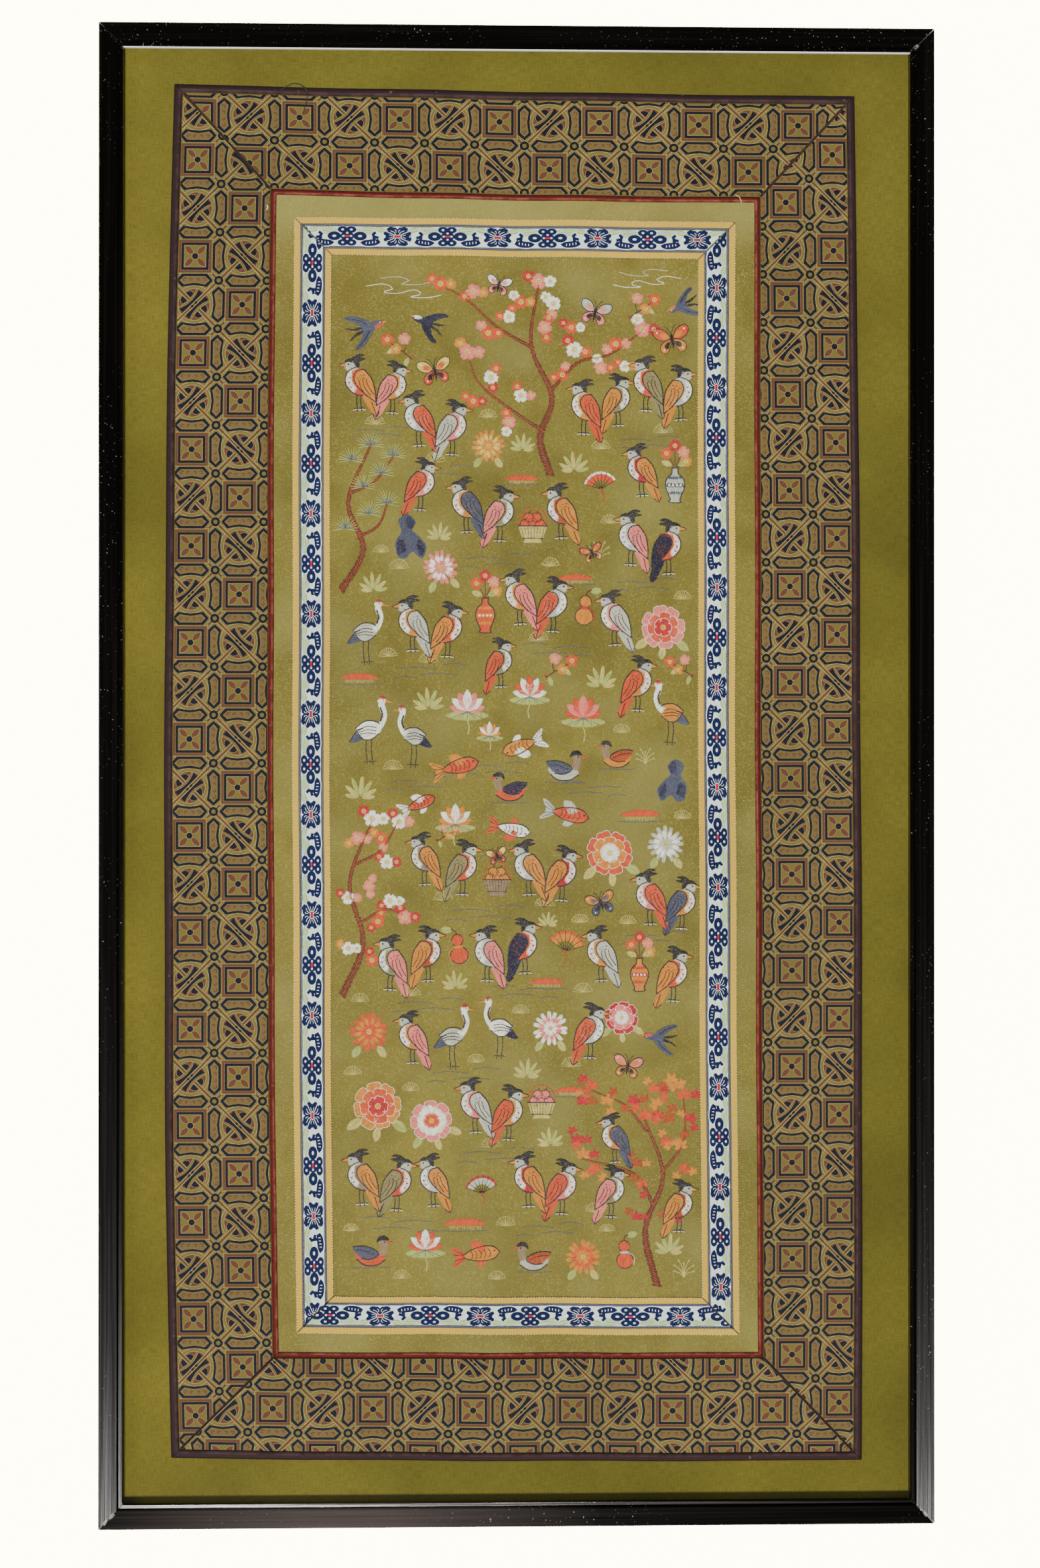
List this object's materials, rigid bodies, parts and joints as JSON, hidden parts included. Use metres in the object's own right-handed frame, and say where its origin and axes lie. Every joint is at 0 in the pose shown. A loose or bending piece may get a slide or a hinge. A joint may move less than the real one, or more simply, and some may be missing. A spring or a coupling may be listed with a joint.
{
  "type": "framed silk embroidery",
  "caption": "Silk embroidery on satin with woven ribbon, piping and a bound brocade border, on a cloth mat behind glass in a black wooden frame, for hanging or display.",
  "frame": {"origin": "middle of the frame's back, which lies at Z = 0", "axes": "+X to the right across the picture, +Y up the picture, +Z out of its face"},
  "size_m": [0.56, 1.005, 0.022],
  "materials": {
    "lacquered_wood": "black-brown lacquer, fine lengthwise grain, satin gloss",
    "clear_glass": "clear picture glass",
    "hardboard": "plain brown hardboard",
    "mat_cloth": "olive green plain weave",
    "satin": "golden olive silk satin",
    "brocade": "gold, navy and red-brown geometric brocade",
    "aubergine_silk": "dark aubergine silk tape",
    "red_silk": "dark red silk piping",
    "woven_ribbon": "cream, aqua and navy woven ribbon",
    "silk_floss": "satin-stitched silk floss in many colours"
  },
  "bodies": {
    "root": {"rail_top": "lacquered_wood", "rail_right": "lacquered_wood", "rail_bottom": "lacquered_wood", "rail_left": "lacquered_wood", "glass": "clear_glass", "backing_board": "hardboard", "mat_cloth": "mat_cloth", "satin_ground": "satin", "brocade_top": "brocade", "brocade_right": "brocade", "brocade_bottom": "brocade", "brocade_left": "brocade", "binding_top": "aubergine_silk", "binding_right": "aubergine_silk", "binding_bottom": "aubergine_silk", "binding_left": "aubergine_silk", "piping_top": "red_silk", "piping_right": "red_silk", "piping_bottom": "red_silk", "piping_left": "red_silk", "ribbon_top": "woven_ribbon", "ribbon_right": "woven_ribbon", "ribbon_bottom": "woven_ribbon", "ribbon_left": "woven_ribbon"}
  },
  "joints": []
}
